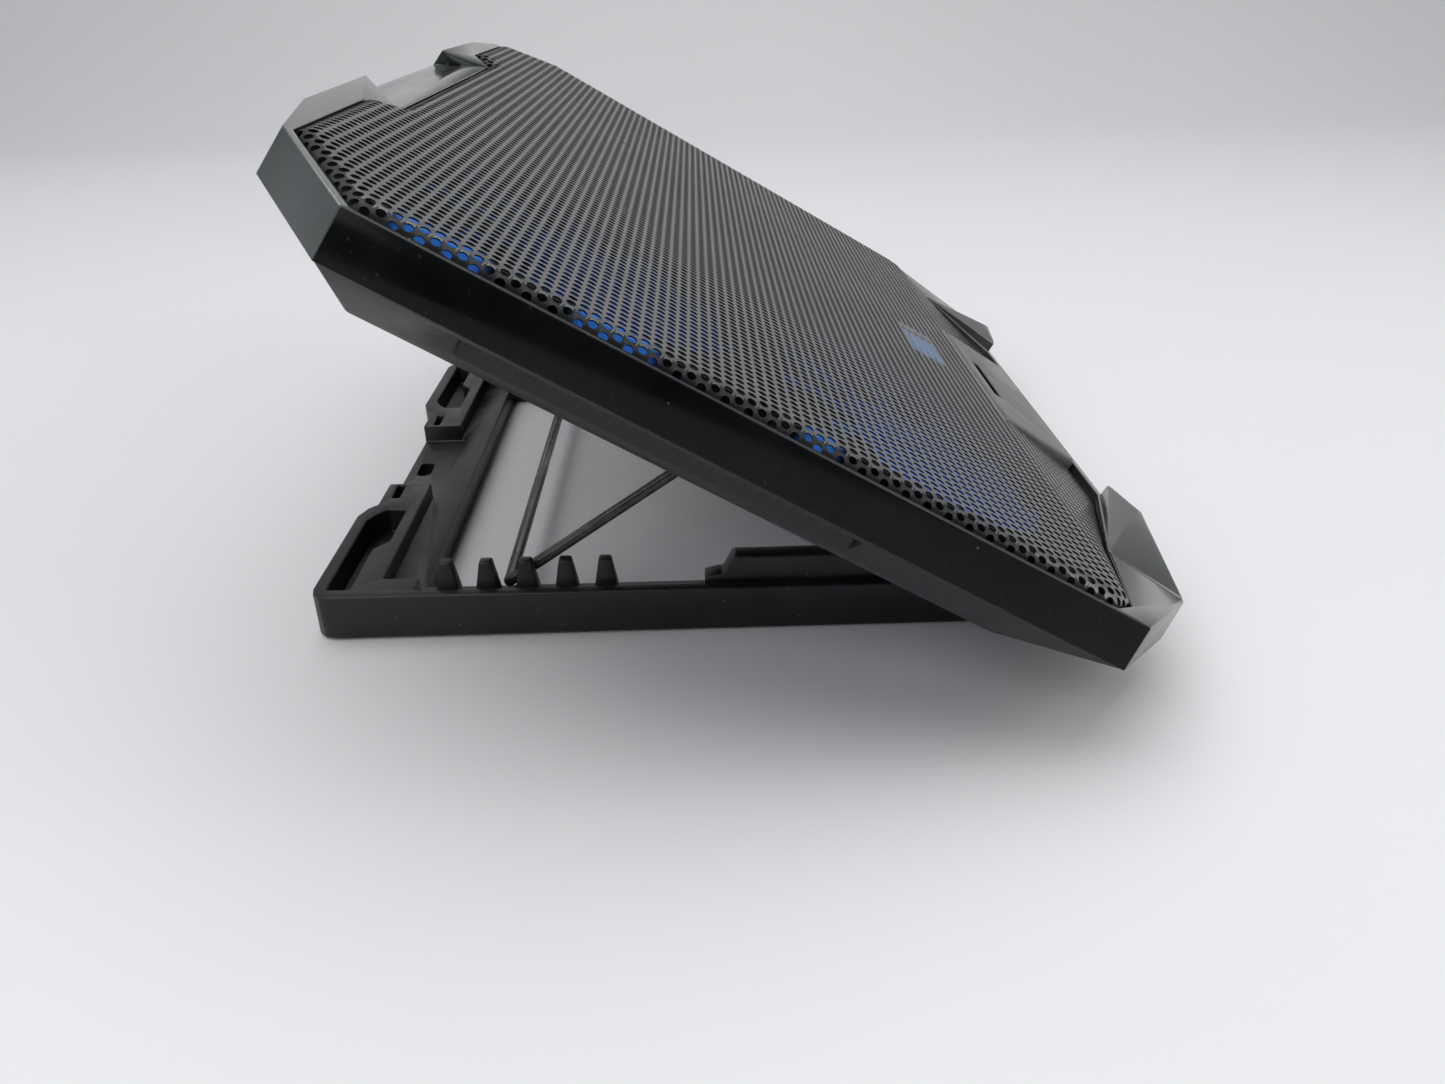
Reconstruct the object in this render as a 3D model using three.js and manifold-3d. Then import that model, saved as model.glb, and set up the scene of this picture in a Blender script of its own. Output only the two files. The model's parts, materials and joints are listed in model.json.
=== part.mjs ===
// Tilting laptop cooling pad: a perforated deck with four fans, hinged at its front
// edge to a low base frame and held up by a wire prop that drops into toothed racks.
// Millimetres, +Z up. +Y runs to the rear, X across. Origin: bottom centre of the
// whole object, on the surface that it stands on.
import * as THREE from "three";
import { mergeVertices } from "three/addons/utils/BufferGeometryUtils.js";
import { ConvexGeometry } from "three/addons/geometries/ConvexGeometry.js";
import Module from "manifold-3d";

const wasm = await Module();
wasm.setup();

// ---- driving dimensions ----------------------------------------------------
const TILT = 30.18;            // deck angle in the modelled notch, degrees
const DECK_HW = 200.7;         // half width of the deck at its top edge
const DECK_D = 285;            // depth of the deck
const REAR_CH = [36.4, 25.3];  // rear corner chamfer, across and along
const FRONT_CH = [39.4, 31.4]; // front corner chamfer
const SKIRT_H = 14;            // height of the deck's side skirt
const SKIRT_FLARE = 1.9;       // how far the skirt flares out at its lower edge
const COVER_Z = -27;           // underside of the deck, in the deck's frame
const WALL = 2.2;              // moulded wall
const PIVOT = [23.6, -35.5];   // tilt axis in the deck's frame (y, z)
const PIVOT_BASE = [11.2, 8];  // tilt axis in the base's frame (y, z)
const BASE_HW = 126, BASE_Y0 = -6, BASE_Y1 = 254, BASE_H = 16;
const RAIL_IN = 108;           // half width of the base's opening
const OPEN_Y0 = 26, OPEN_Y1 = 218.7;
const LEDGE_Z = 9.5;           // rack floor, on which the prop's foot lies
const TEETH_Y = [154, 167.6, 181.2, 194.8, 208.4];
const TOOTH_TOP = 23.6;
const FOOT_PROUD = 0.8;        // rubber feet stand this far below the frame
const BAR_R = 2.1;             // prop bar radius
const LEG_X = 110.3;           // prop leg centre line
const PROP_PIVOT = [132.5, -24.8]; // prop's axis in the deck's frame
const PROP_FOOT = [188.4, 12.4];   // foot bar centre in the base's frame
const FAN_X = 118, FAN_Y = [88, 206], FAN_HALF = 56, FAN_BORE = 52.5;
const FAN_Z0 = -15, FAN_Z1 = -4;
const MESH_Z = 2.6;            // top of the perforated sheet
const SHIFT_Y = -111.5875;        // puts the origin at the bottom centre

// ---- helpers ---------------------------------------------------------------
const rad = (d) => (d * Math.PI) / 180;
function solid(g) {
  const s = g.index ? g.toNonIndexed() : g.clone();
  const c = new THREE.BufferGeometry().setAttribute("position", s.getAttribute("position"));
  const m = mergeVertices(c, 1e-4);
  return new wasm.Manifold(
    new wasm.Mesh({ numProp: 3, vertProperties: new Float32Array(m.attributes.position.array), triVerts: new Uint32Array(m.index.array) }),
  );
}
function geometry(man) {
  const m = man.getMesh(), n = m.numProp, v = new Float32Array(m.numVert * 3);
  for (let i = 0; i < m.numVert; i++) for (let k = 0; k < 3; k++) v[3 * i + k] = m.vertProperties[n * i + k];
  const g = new THREE.BufferGeometry();
  g.setAttribute("position", new THREE.BufferAttribute(v, 3));
  g.setIndex(new THREE.BufferAttribute(new Uint32Array(m.triVerts), 1));
  g.computeVertexNormals();
  return g;
}
// A stack of rings with the same number of points, closed by two caps.
function loft(rings) {
  const n = rings[0].pts.length, pos = [], idx = [];
  for (const r of rings) for (const [x, y] of r.pts) pos.push(x, y, r.zf ? r.zf(x, y) : r.z);
  for (let k = 0; k + 1 < rings.length; k++)
    for (let i = 0; i < n; i++) {
      const a = k * n + i, b = k * n + ((i + 1) % n), c = a + n, d = b + n;
      idx.push(a, b, d, a, d, c);
    }
  const cap = (k, up) => {
    const pts = rings[k].pts.map((p) => new THREE.Vector2(p[0], p[1]));
    for (const t of THREE.ShapeUtils.triangulateShape(pts, []))
      up ? idx.push(k * n + t[0], k * n + t[1], k * n + t[2]) : idx.push(k * n + t[0], k * n + t[2], k * n + t[1]);
  };
  cap(0, false);
  cap(rings.length - 1, true);
  const g = new THREE.BufferGeometry();
  g.setAttribute("position", new THREE.BufferAttribute(new Float32Array(pos), 3));
  g.setIndex(idx);
  return solid(g);
}
const prism = (pts, z0, z1) => loft([{ pts, z: z0 }, { pts, z: z1 }]);
const box = (x0, x1, y0, y1, z0, z1) =>
  solid(new THREE.BoxGeometry(x1 - x0, y1 - y0, z1 - z0).translate((x0 + x1) / 2, (y0 + y1) / 2, (z0 + z1) / 2));
const circle = (cx, cy, r, n, a0 = 0) =>
  Array.from({ length: n }, (_, i) => { const a = a0 + (2 * Math.PI * i) / n; return [cx + r * Math.cos(a), cy + r * Math.sin(a)]; });
const cylZ = (cx, cy, r, z0, z1, n = 20) => prism(circle(cx, cy, r, n), z0, z1);
// A profile given in (y, z), pushed along X.
function prismX(pts, x0, x1) {
  const g = new THREE.ExtrudeGeometry(new THREE.Shape(pts.map((p) => new THREE.Vector2(p[0], p[1]))), { depth: x1 - x0, bevelEnabled: false });
  g.applyMatrix4(new THREE.Matrix4().makeBasis(new THREE.Vector3(0, 1, 0), new THREE.Vector3(0, 0, 1), new THREE.Vector3(1, 0, 0)));
  return solid(g.translate(x0, 0, 0));
}
const cylX = (cy, cz, r, x0, x1, n = 20) => prismX(circle(cy, cz, r, n), x0, x1);
function hull(points) { return solid(new ConvexGeometry(points.map((p) => new THREE.Vector3(...p)))); }
const union = (list) => list.reduce((a, b) => a.add(b));
const cut = (a, list) => list.reduce((s, b) => s.subtract(b), a);
// Moves each edge of a counter-clockwise outline outwards by d.
function offset(pts, d) {
  const n = pts.length;
  return pts.map((p, i) => {
    const q = pts[(i + n - 1) % n], r = pts[(i + 1) % n];
    const e1 = [p[0] - q[0], p[1] - q[1]], e2 = [r[0] - p[0], r[1] - p[1]];
    const l1 = Math.hypot(...e1), l2 = Math.hypot(...e2);
    const n1 = [e1[1] / l1, -e1[0] / l1], n2 = [e2[1] / l2, -e2[0] / l2];
    const k = 1 + n1[0] * n2[0] + n1[1] * n2[1];
    return [p[0] + (d * (n1[0] + n2[0])) / k, p[1] + (d * (n1[1] + n2[1])) / k];
  });
}
const mirrorX = (man) => man.mirror([1, 0, 0]);
const both = (man) => [man, mirrorX(man)];

// ---- materials -------------------------------------------------------------
const mat = (color, roughness, metalness = 0) => new THREE.MeshStandardMaterial({ color, roughness, metalness });
const M = {
  shell: mat(0x1b1d20, 0.38), base: mat(0x1e2023, 0.5), mesh: mat(0x5d6064, 0.42, 0.7), fan: mat(0x14161a, 0.5),
  blade: mat(0x1f4bb8, 0.3), panel: mat(0x5c6062, 0.45), badge: mat(0x2a5fc4, 0.25), rubber: mat(0x101112, 0.85),
  steel: mat(0x8d9094, 0.35, 0.9), bar: mat(0x24282b, 0.4, 0.5), pcb: mat(0x12502f, 0.5), lens: mat(0x08090b, 0.15),
};
const root = new THREE.Group();
const deck = new THREE.Group();
const base = new THREE.Group();
root.add(base, deck);
base.position.set(0, SHIFT_Y, FOOT_PROUD);
deck.position.set(0, PIVOT_BASE[0] + SHIFT_Y, PIVOT_BASE[1] + FOOT_PROUD);
deck.rotation.x = rad(TILT);
const deckIn = new THREE.Group();
deckIn.position.set(0, -PIVOT[0], -PIVOT[1]);
deck.add(deckIn);
function put(group, name, man, material) {
  const m = new THREE.Mesh(geometry(man), material);
  m.name = name;
  group.add(m);
  return m;
}

// ---- deck: top frame -------------------------------------------------------
const RX = DECK_HW - REAR_CH[0], RY = DECK_D - REAR_CH[1], FX = DECK_HW - FRONT_CH[0], FY = FRONT_CH[1];
const OUTLINE = [
  [-FX, 0], [FX, 0], [DECK_HW, FY], [DECK_HW, RY], [RX, DECK_D], [130, 290.6], [60, 291.6],
  [-60, 291.6], [-130, 290.6], [-RX, DECK_D], [-DECK_HW, RY], [-DECK_HW, FY],
];
// The opening that the perforated sheet fills.
const HALF_OPEN = [[86, 2.4], [150, 24.5], [168, 28.5], [191, 33.5], [198.2, 41.5], [198.2, 258.2], [163.3, 282.6], [96, 283.2], [85, 274.4]];
const OPENING = [...HALF_OPEN, ...[...HALF_OPEN].reverse().map(([x, y]) => [-x, y])];
let frame = loft([{ pts: offset(OUTLINE, SKIRT_FLARE), z: -SKIRT_H }, { pts: OUTLINE, z: 0 }]);
const inner = (d) => offset(OUTLINE, d);
frame = cut(frame, [
  loft([{ pts: inner(SKIRT_FLARE - WALL), z: -SKIRT_H - 0.2 }, { pts: inner(-WALL - 1.2), z: -3.6 }]),
  prism(OPENING, -8, 2),
]);
// stoppers at the front corners: a wedge that rises to a crest, with a short wall behind it
const lip = hull([
  [-86, 2.0, 5.2], [-112, 0.05, 7.6], [-112, 2.2, 7.6], [-FX + 1, 0.4, 0.5], [-150, 24.3, 0.2], [-92, 0.6, 5.6],
  [-86, 2.0, -3.4], [-92, 0.6, -3.4], [-FX + 1, 0.4, -3.4], [-150, 24.3, -3.4], [-112, 0.05, -3.4],
]);
frame = union([frame, ...both(lip)]);
// cable recess in the middle of the rear edge: its floor falls away to the rear
const recess = hull([
  [-85, 274.6, 0.05], [85, 274.6, 0.05], [-60, 293, -7.2], [60, 293, -7.2], [-85, 274.6, 3], [85, 274.6, 3],
  [-60, 293, 3], [60, 293, 3],
]);
const recessBack = hull([
  [-83, 276.2, -2.6], [83, 276.2, -2.6], [-58, 291.4, -9.4], [58, 291.4, -9.4], [-83, 276.2, -0.4], [83, 276.2, -0.4],
  [-58, 291.4, -6.0], [58, 291.4, -6.0],
]);
frame = cut(union([frame, recessBack]), [recess]);
// ledge under the sheet's turned-down edge, and the shelf that carries the front panel
const ledge = prism(offset(OPENING, 1.6), -6, -3.8).subtract(prism(offset(OPENING, -1.8), -7, -3));
const skirtInside = loft([{ pts: inner(SKIRT_FLARE - 0.6), z: -SKIRT_H + 0.1 }, { pts: inner(-0.6), z: -0.2 }]);
frame = union([frame, ledge.intersect(skirtInside), box(-60, 60, 1, 38, -6, -4.2)]);
// screw bosses, each tied to the skirt by a rib
const SCREWS = [[180, 84], [180, 143], [180, 240]];
for (const [x, y] of SCREWS)
  frame = union([frame, ...both(cylZ(x, y, 4, -24.2, -6.2, 12)), ...both(box(x, 199, y - 1.2, y + 1.2, -12, -6.2))]);
for (const [x, y] of SCREWS) frame = cut(frame, both(cylZ(x, y, 1.7, -25, -12, 12)));
// ports and dial slot through the rear skirt
const PORT_X = [84.5, 101], DIAL = [121, 283.6, 9];
frame = cut(frame, [
  ...PORT_X.map((x) => box(x - 7, x + 7, 273, 296, -11.3, -4.5)),
  box(DIAL[0] - 9.8, DIAL[0] + 9.8, 282, 296, -10, -5.6),
]);
put(deckIn, "top_frame", frame, M.shell);

// ---- deck: perforated sheet ------------------------------------------------
const SHEET = offset(OPENING, -0.45);
function dome(d, dz) {
  const o = (k) => offset(SHEET, -k - d);
  let s = loft([{ pts: o(0), z: -3.4 - (d ? 1 : 0) }, { pts: o(0), z: -0.9 - dz }, { pts: o(1.2), z: 1.1 - dz }, { pts: o(3.4), z: 2.2 - dz }, { pts: o(6.5), z: MESH_Z - dz }]);
  // the front margin slopes down to the front rim
  return s.subtract(prismX([[-10, -4.3 - dz], [38, MESH_Z - dz], [38, 12], [-10, 12]], -220, 220));
}
const PANEL_HW = 57;
let sheet = dome(0, 0).subtract(dome(0.7, 0.7)).subtract(box(-PANEL_HW - 0.6, PANEL_HW + 0.6, -5, 37, -8, 8));
sheet = sheet.subtract(box(-23.4, 18.9, 54.1, 73.4, -2, 8));
put(deckIn, "mesh_grille", sheet, M.mesh);

// ---- deck: front panel, lens and badge -------------------------------------
let panel = loft([
  { pts: [[-PANEL_HW, 2.8], [PANEL_HW, 2.8], [PANEL_HW, 36.3], [-PANEL_HW, 36.3]], z: -3.8 },
  { pts: [[-PANEL_HW, 2.8], [PANEL_HW, 2.8], [PANEL_HW, 36.3], [-PANEL_HW, 36.3]], zf: (x, y) => (y < 10 ? 0.6 : 2.2) },
  { pts: [[-PANEL_HW + 0.8, 3.6], [PANEL_HW - 0.8, 3.6], [PANEL_HW - 0.8, 35.5], [-PANEL_HW + 0.8, 35.5]], zf: (x, y) => (y < 10 ? 1.2 : 2.9) },
]);
panel = cut(panel, [box(-22.3, 22.3, 27.4, 31.8, 0.6, 6)]);
put(deckIn, "front_panel", panel, M.panel);
put(deckIn, "indicator_lens", box(-22, 22, 27.7, 31.5, 0.9, 2.0), M.lens);
put(deckIn, "badge_frame", box(-23, 18.5, 54.5, 73, 1.2, 2.55).subtract(box(-21.8, 8, 55.7, 71.8, 1.7, 5)), M.lens);
put(deckIn, "badge_inlay", box(-21.5, 7.7, 56, 71.5, 2.0, 2.5), M.badge);

// ---- deck: bottom cover ----------------------------------------------------
const COVER_TOP = [[-161.7, -0.9], [161.7, -0.9], [201.6, 31], [201.6, 260.2], [164.6, 286], [-164.6, 286], [-201.6, 260.2], [-201.6, 31]];
const COVER_BOT = [[-150, 42], [150, 42], [187.7, 62], [187.7, 252], [160, 271], [-160, 271], [-187.7, 252], [-187.7, 62]];
let cover = loft([{ pts: COVER_BOT, z: COVER_Z }, { pts: COVER_TOP, z: -SKIRT_H - 0.3 }]);
// shallow grip recess along each flank
cover = cut(cover, both(box(192, 215, 113, 225, -23.6, -16)));
let hollow = loft([{ pts: offset(COVER_BOT, -2.6), z: COVER_Z + WALL }, { pts: offset(COVER_TOP, -2.6), z: -SKIRT_H + 0.5 }]);
hollow = cut(hollow, both(box(189.6, 215, 110, 228, -26, -13.4)));
cover = cover.subtract(hollow);
// grooves that take the racks and the folded prop
const liners = [...both(box(102.6, 124.4, 46, 248, -26.5, -15.6)), ...both(box(95.8, 104, 122.5, 143.5, -26.5, -15.6))];
cover = union([cover, ...liners]);
cover = cut(cover, [...both(box(104.6, 122.4, 30, 246, -29, -17.2)), ...both(box(97.8, 106, 124.5, 141.5, -29, -17.2))]);
// intake slots under each fan
for (const cy of FAN_Y)
  for (let k = -3; k <= 3; k++) {
    const y = cy + 12 * k, hw = Math.sqrt(Math.max(0, 50 * 50 - (12 * k) ** 2));
    if (FAN_X - hw < 94) cover = cut(cover, both(box(FAN_X - hw, 94, y - 2.6, y + 2.6, -28, -20)));
    if (FAN_X + hw > 130) cover = cut(cover, both(box(130, FAN_X + hw, y - 2.6, y + 2.6, -28, -20)));
  }
for (const [x, y] of SCREWS) cover = cut(cover, [...both(cylZ(x, y, 1.8, -28, -20, 12)), ...both(cylZ(x, y, 3.5, -28, -25.9, 16))]);
// hinge ears
const earPts = [...circle(PIVOT[0], PIVOT[1], 6, 20).filter(([, z]) => z < PIVOT[1] + 2), [PIVOT[0] + 9, -22.6], [PIVOT[0] - 4.6, -18.5]]
  .sort((a, b) => Math.atan2(a[1] + 30, a[0] - PIVOT[0]) - Math.atan2(b[1] + 30, b[0] - PIVOT[0]));
const ear = prismX(earPts, 86, 92);
cover = cut(union([cover, ...both(ear)]), both(cylX(PIVOT[0], PIVOT[1], 2.3, 84, 94)));
put(deckIn, "bottom_cover", cover, M.shell);
SCREWS.forEach(([x, y], i) =>
  [-1, 1].forEach((s) => {
    let b = cylZ(s * x, y, 3.1, -27, -26.2, 16).subtract(union([box(s * x - 2, s * x + 2, y - 0.4, y + 0.4, -28, -26.6), box(s * x - 0.4, s * x + 0.4, y - 2, y + 2, -28, -26.6)]));
    b = b.add(cylZ(s * x, y, 1.3, -26.4, -14, 10));
    put(deckIn, `cover_screw_${s < 0 ? "left" : "right"}_${i + 1}`, b, M.steel);
  }),
);

// ---- deck: fans ------------------------------------------------------------
const fanNames = ["front_left", "front_right", "rear_left", "rear_right"];
const fanAt = [[-FAN_X, FAN_Y[0]], [FAN_X, FAN_Y[0]], [-FAN_X, FAN_Y[1]], [FAN_X, FAN_Y[1]]];
const sq = (h, c) => [[-h + c, -h], [h - c, -h], [h, -h + c], [h, h - c], [h - c, h], [-h + c, h], [-h, h - c], [-h, -h + c]];
let fanFrame = prism(sq(FAN_HALF, 5), FAN_Z0, FAN_Z1).subtract(cylZ(0, 0, FAN_BORE, -20, 0, 32));
// flanges only at the top and bottom corners, with the walls waisted between them
fanFrame = cut(fanFrame, [0, 1, 2, 3].map((k) => box(-34, 34, 54.6, 60, -12.8, -6.2).rotate([0, 0, 90 * k])));
fanFrame = cut(fanFrame, [[-49, -49], [49, -49], [49, 49], [-49, 49]].map(([x, y]) => cylZ(x, y, 2.2, -20, 0, 10)));
const spokes = [0, 1, 2, 3].map((k) => box(12, FAN_BORE + 1, -1.6, 1.6, FAN_Z0, FAN_Z0 + 2).rotate([0, 0, 45 + 90 * k]));
fanFrame = union([fanFrame, cylZ(0, 0, 15.5, FAN_Z0, FAN_Z0 + 2, 24), ...spokes]).subtract(cylZ(0, 0, 2.0, -20, -10, 12));
let rotor = union([cylZ(0, 0, 16.5, -12.6, -4.6, 28), cylZ(0, 0, 1.6, -14.6, -12.4, 12)]);
const BLADES = 9;
for (let k = 0; k < BLADES; k++) {
  const blade = [];
  for (const [r, z0, z1, a0, a1] of [[15.8, -11.8, -5.4, -13, 13], [33, -11.2, -5.6, -8, 17], [50.4, -10.6, -6.2, -4, 20]]) {
    const p = (a, z) => [r * Math.cos(rad(a)), r * Math.sin(rad(a)), z];
    blade.push([p(a0, z0), p(a0 + 1.5, z0 + 1.2), p(a1 - 1.5, z1 - 1.2), p(a1, z1)]);
  }
  for (let j = 0; j < 2; j++) rotor = rotor.add(hull([...blade[j], ...blade[j + 1]]).rotate([0, 0, (360 / BLADES) * k]));
}
fanAt.forEach(([x, y], i) => {
  put(deckIn, `fan_frame_${fanNames[i]}`, fanFrame, M.fan).position.set(x, y, 0);
  put(deckIn, `fan_rotor_${fanNames[i]}`, rotor, M.blade).position.set(x, y, 0);
});

// ---- deck: controller, sockets and speed dial ------------------------------
const pcb = box(70, 132, 265, 286, -13.4, -12).subtract(cylZ(DIAL[0], DIAL[1], 2.0, -15, -10, 12));
put(deckIn, "controller_board", pcb, M.pcb);
PORT_X.forEach((x, i) => {
  const s = box(x - 6.6, x + 6.6, 276, 290.4, -11, -4.8).subtract(box(x - 6, x + 6, 277.4, 292, -10.4, -5.4));
  put(deckIn, `usb_socket_${i + 1}`, s, M.steel);
});
const dialPts = Array.from({ length: 48 }, (_, i) => { const r = i % 2 ? DIAL[2] : DIAL[2] - 0.5, a = (Math.PI * i) / 24; return [DIAL[0] + r * Math.cos(a), DIAL[1] + r * Math.sin(a)]; });
put(deckIn, "speed_dial", prism(dialPts, -9.6, -6).add(cylZ(DIAL[0], DIAL[1], 1.6, -13.2, -9.4, 12)), M.shell);

// ---- prop: a bent bar, with its turned-in ends held by two clips -----------
// Its foot is placed in the base's frame and carried into the deck's frame here.
const c = Math.cos(rad(TILT)), s = Math.sin(rad(TILT));
const fy = PROP_FOOT[0] - PIVOT_BASE[0], fz = PROP_FOOT[1] - PIVOT_BASE[1];
const FOOT = [fy * c + fz * s + PIVOT[0], -fy * s + fz * c + PIVOT[1]];
function bar(a, b, r, n = 10) {
  const A = new THREE.Vector3(...a), B = new THREE.Vector3(...b), L = A.distanceTo(B);
  const g = new THREE.CylinderGeometry(r, r, L, n).translate(0, L / 2, 0);
  g.applyQuaternion(new THREE.Quaternion().setFromUnitVectors(new THREE.Vector3(0, 1, 0), B.clone().sub(A).normalize())).translate(...a);
  return solid(g);
}
const knee = (p, r) => solid(new THREE.SphereGeometry(r, 10, 6).translate(...p));
const P1 = [-98.6, ...PROP_PIVOT], P2 = [-LEG_X, ...PROP_PIVOT], P3 = [-LEG_X, ...FOOT], flip = (p) => [-p[0], p[1], p[2]];
const prop = union([
  bar(P1, P2, BAR_R), bar(P2, P3, BAR_R), bar(P3, flip(P3), BAR_R), bar(flip(P3), flip(P2), BAR_R), bar(flip(P2), flip(P1), BAR_R),
  knee(P2, BAR_R + 0.02), knee(P3, BAR_R + 0.02), knee(flip(P2), BAR_R + 0.02), knee(flip(P3), BAR_R + 0.02),
]);
put(deckIn, "prop_bar", prop, M.bar);
const clip = box(98.2, 104.2, 127.5, 138, -27.6, -17.6).subtract(cylX(PROP_PIVOT[0], PROP_PIVOT[1], BAR_R + 0.35, 97, 106, 16));
put(deckIn, "prop_clip_right", clip, M.shell);
put(deckIn, "prop_clip_left", mirrorX(clip), M.shell);

// ---- base frame ------------------------------------------------------------
const R = 7, corner = (cx, cy, a) => [0, 1, 2, 3].map((k) => { const t = rad(a + 30 * k); return [cx + R * Math.cos(t), cy + R * Math.sin(t)]; });
const BASE = [
  ...corner(-BASE_HW + R, BASE_Y0 + R, 180), ...corner(BASE_HW - R, BASE_Y0 + R, 270), ...corner(BASE_HW - R, BASE_Y1 - R, 0),
  [62, BASE_Y1], [55, 251.5], [51.6, 248.4], [-51.6, 248.4], [-55, 251.5], [-62, BASE_Y1], ...corner(-BASE_HW + R, BASE_Y1 - R, 90),
];
let bf = prism(BASE, 0, BASE_H);
bf = cut(bf, [
  box(-RAIL_IN, RAIL_IN, OPEN_Y0, OPEN_Y1, -1, 20),                      // the open middle
  ...both(box(RAIL_IN - 1, BASE_HW - 4.4, OPEN_Y0, OPEN_Y1 + 0.01, LEDGE_Z, 20)), // rack channels
  box(-113, 113, OPEN_Y1 - 1, 231.5, LEDGE_Z, 20),                       // ledge where the folded prop lies
  box(-32, 32, 230, 260, 8.4, 20),                                       // finger recess
  prismX([[-10, 9.8], [-0.6, 16.2], [-0.6, 20], [-10, 20]], -200, 200),  // front edge, which clears the deck at its steepest
  ...both(prism([[57, 236.2], [84, 236.2], [90, 241], [120.2, 241], [120.2, 249.2], [67, 249.2], [61, 246.4], [57, 243.2]], 6.5, 20)), // trench beside the rim
  ...both(box(34, 46, 241.6, 244.6, 6, 20)),                             // slots either side of the recess
  prism([...circle(4, 241.5, 3, 12).filter(([x]) => x >= 4 - 1e-6), ...circle(-4, 241.5, 3, 12).filter(([x]) => x <= -4 + 1e-6)]
    .sort((a, b) => Math.atan2(a[1] - 241.5, a[0]) - Math.atan2(b[1] - 241.5, b[0])), -1, 10),
]);
for (const y of TEETH_Y) {
  const t = hull([[113, y - 4.9, 8], [113, y + 4.9, 8], [119.4, y - 4.9, 8], [119.4, y + 4.9, 8], [113.4, y - 2.1, TOOTH_TOP], [113.4, y + 2.1, TOOTH_TOP], [117.6, y - 2.1, TOOTH_TOP], [117.6, y + 2.1, TOOTH_TOP]]);
  bf = union([bf, ...both(t)]);
}
const blockProfile = [[30, 6], [120, 6], [120, 17.2], [115.2, 18.4], [113.6, 18.4], [110.6, 24.2], [109.4, 25], [36, 25], [30, 20]];
bf = union([bf, ...both(prismX(blockProfile, 113.2, 120.6))]);
// hinge slots and pin holes at the front
bf = cut(bf, [...both(box(84.6, 93.4, 1.5, OPEN_Y0 + 1, -1, 20)), ...both(box(84.6, 93.4, -4.4, 6, 6, 20)), ...both(cylX(PIVOT_BASE[0], PIVOT_BASE[1], 2.3, 78, 100))]);
const FEET = [[-108, 10], [108, 10], [-108, 240], [108, 240]];
bf = cut(bf, FEET.map(([x, y]) => cylZ(x, y, 7.3, -1, 1.5, 24)));
put(base, "base_frame", bf, M.base);
FEET.forEach(([x, y], i) => put(base, `foot_${fanNames[i]}`, cylZ(x, y, 7, -FOOT_PROUD, 1.2, 24), M.rubber));
[-1, 1].forEach((k) => put(base, `hinge_pin_${k < 0 ? "left" : "right"}`, cylX(PIVOT_BASE[0], PIVOT_BASE[1], 2, k < 0 ? -99.6 : 78.4, k < 0 ? -78.4 : 99.6), M.steel));

export default root;
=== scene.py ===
import json
import math
import random
import bmesh
import bpy
import numpy as np
from mathutils import Matrix, Vector, geometry

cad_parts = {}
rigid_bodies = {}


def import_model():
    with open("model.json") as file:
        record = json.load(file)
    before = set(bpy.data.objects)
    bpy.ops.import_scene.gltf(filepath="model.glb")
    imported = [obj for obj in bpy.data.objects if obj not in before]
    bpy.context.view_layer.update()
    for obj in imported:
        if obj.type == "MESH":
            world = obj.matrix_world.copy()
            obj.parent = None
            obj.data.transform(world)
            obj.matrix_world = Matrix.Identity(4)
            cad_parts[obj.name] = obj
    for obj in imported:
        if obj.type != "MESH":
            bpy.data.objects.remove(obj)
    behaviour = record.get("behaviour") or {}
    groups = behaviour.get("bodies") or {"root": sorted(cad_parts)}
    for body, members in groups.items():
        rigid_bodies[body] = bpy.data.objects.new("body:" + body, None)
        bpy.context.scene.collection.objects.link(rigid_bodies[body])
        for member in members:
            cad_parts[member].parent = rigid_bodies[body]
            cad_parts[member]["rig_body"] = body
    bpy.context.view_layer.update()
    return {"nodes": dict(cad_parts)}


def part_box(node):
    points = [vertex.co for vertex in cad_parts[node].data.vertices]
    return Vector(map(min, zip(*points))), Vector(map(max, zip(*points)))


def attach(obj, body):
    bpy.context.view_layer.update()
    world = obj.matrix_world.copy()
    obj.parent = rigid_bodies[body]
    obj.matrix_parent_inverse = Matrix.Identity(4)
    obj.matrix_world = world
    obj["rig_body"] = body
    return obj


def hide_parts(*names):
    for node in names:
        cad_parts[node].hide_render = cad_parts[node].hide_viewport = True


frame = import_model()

NODES = frame["nodes"]
rng = np.random.default_rng(7)
random.seed(7)

# ---- the deck's own frame (millimetres in, metres out) -----------------------------------------
TILT = math.radians(30.18)
SHIFT = -111.5875
DECK = (Matrix.Translation((0, (11.2 + SHIFT) / 1000, 0.0088)) @ Matrix.Rotation(TILT, 4, "X")
        @ Matrix.Translation((0, -0.0236, 0.0355)) @ Matrix.Scale(0.001, 4))
BASE = Matrix.Translation((0, SHIFT / 1000, 0.0008)) @ Matrix.Scale(0.001, 4)
DM = np.array(DECK)
BM = np.array(BASE)


def place(pts, m):
    p = np.asarray(pts, float)
    return p @ m[:3, :3].T + m[:3, 3]


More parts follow.
